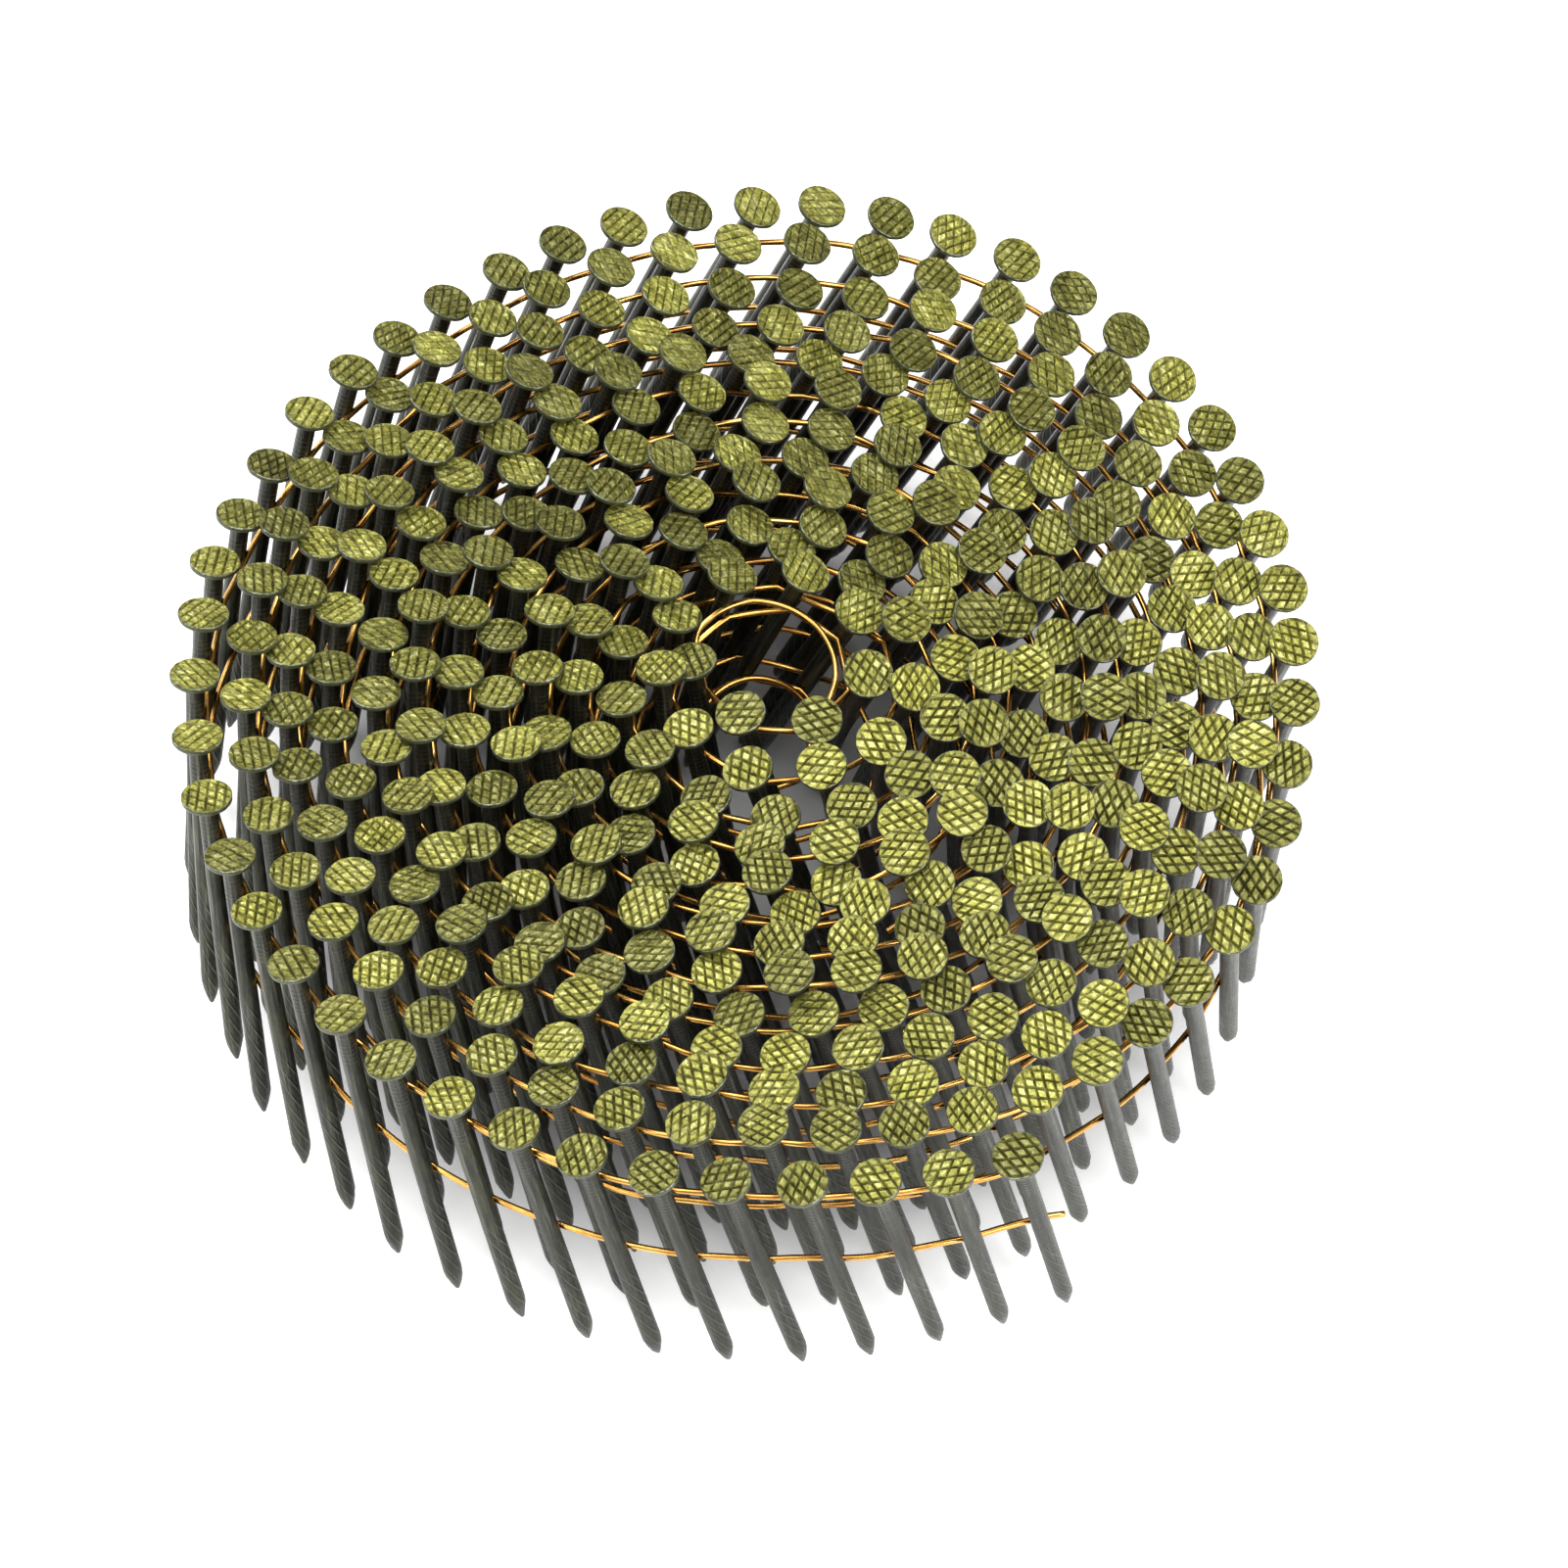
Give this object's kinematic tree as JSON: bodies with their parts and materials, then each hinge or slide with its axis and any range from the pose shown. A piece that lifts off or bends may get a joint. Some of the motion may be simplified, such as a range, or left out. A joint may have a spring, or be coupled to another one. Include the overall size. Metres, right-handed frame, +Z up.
{
  "type": "wire-collated nail coil",
  "caption": "Flat spiral coil of lacquered screw-shank nails held side by side by two thin copper-coated wires, standing on its points, with a loose outer end that flexes open.",
  "frame": {"origin": "middle of the underside of the box round the coil, at the height of the lowest nail points", "axes": "+Z up, along the roll's axis from the points to the heads; -Y towards the side where the outer end of the strip hangs loose"},
  "size_m": [0.1236, 0.1352, 0.0416],
  "materials": {
    "lacquered_nail": "yellow-green lacquer over dark steel, semi-gloss",
    "copper_wire": "bright copper-coated steel wire"
  },
  "bodies": {
    "wound_coil": {"upper_wire_wound": "copper_wire", "wound_section_01": "lacquered_nail", "wound_section_02": "lacquered_nail", "wound_section_03": "lacquered_nail", "wound_section_04": "lacquered_nail", "wound_section_05": "lacquered_nail", "wound_section_06": "lacquered_nail", "wound_section_07": "lacquered_nail", "wound_section_08": "lacquered_nail", "wound_section_09": "lacquered_nail", "wound_section_10": "lacquered_nail", "wound_section_11": "lacquered_nail", "wound_section_12": "lacquered_nail", "wound_section_13": "lacquered_nail", "wound_section_14": "lacquered_nail", "wound_section_15": "lacquered_nail", "wound_section_16": "lacquered_nail", "wound_section_17": "lacquered_nail", "wound_section_18": "lacquered_nail", "wound_section_19": "lacquered_nail", "wound_section_20": "lacquered_nail", "wound_section_21": "lacquered_nail", "wound_section_22": "lacquered_nail", "wound_section_23": "lacquered_nail", "wound_section_24": "lacquered_nail", "wound_section_25": "lacquered_nail", "wound_section_26": "lacquered_nail", "wound_section_27": "lacquered_nail", "wound_section_28": "lacquered_nail", "wound_section_29": "lacquered_nail", "wound_section_30": "lacquered_nail", "wound_section_31": "lacquered_nail", "wound_section_32": "lacquered_nail", "wound_section_33": "lacquered_nail", "wound_section_34": "lacquered_nail", "wound_section_35": "lacquered_nail", "wound_section_36": "lacquered_nail", "wound_section_37": "lacquered_nail", "wound_section_38": "lacquered_nail", "wound_section_39": "lacquered_nail"},
    "strip_link_5": {"nail_09": "lacquered_nail", "nail_10": "lacquered_nail", "upper_wire_link_5": "copper_wire", "lower_wire_link_5": "copper_wire"},
    "strip_link_4": {"nail_07": "lacquered_nail", "nail_08": "lacquered_nail", "upper_wire_link_4": "copper_wire", "lower_wire_link_4": "copper_wire"},
    "strip_link_3": {"nail_05": "lacquered_nail", "nail_06": "lacquered_nail", "upper_wire_link_3": "copper_wire", "lower_wire_link_3": "copper_wire"},
    "strip_link_2": {"nail_03": "lacquered_nail", "nail_04": "lacquered_nail", "upper_wire_link_2": "copper_wire", "lower_wire_link_2": "copper_wire"},
    "strip_link_1": {"nail_01": "lacquered_nail", "nail_02": "lacquered_nail", "upper_wire_link_1": "copper_wire", "lower_wire_link_1": "copper_wire"}
  },
  "joints": [
    {"name": "strip_flex_5", "type": "hinge", "parent": "wound_coil", "child": "strip_link_5", "pos_m": [-0.02886, -0.05452, 0.019], "axis": [0, 0, -1], "range_deg": [0, 22]},
    {"name": "strip_flex_4", "type": "hinge", "parent": "strip_link_5", "child": "strip_link_4", "pos_m": [-0.01532, -0.06041, 0.019], "axis": [0, 0, -1], "range_deg": [0, 22]},
    {"name": "strip_flex_3", "type": "hinge", "parent": "strip_link_4", "child": "strip_link_3", "pos_m": [-0.00069, -0.06285, 0.019], "axis": [0, 0, -1], "range_deg": [0, 22]},
    {"name": "strip_flex_2", "type": "hinge", "parent": "strip_link_3", "child": "strip_link_2", "pos_m": [0.01429, -0.0615, 0.019], "axis": [0, 0, -1], "range_deg": [0, 22]},
    {"name": "strip_flex_1", "type": "hinge", "parent": "strip_link_2", "child": "strip_link_1", "pos_m": [0.02856, -0.05728, 0.019], "axis": [0, 0, -1], "range_deg": [0, 22]}
  ]
}
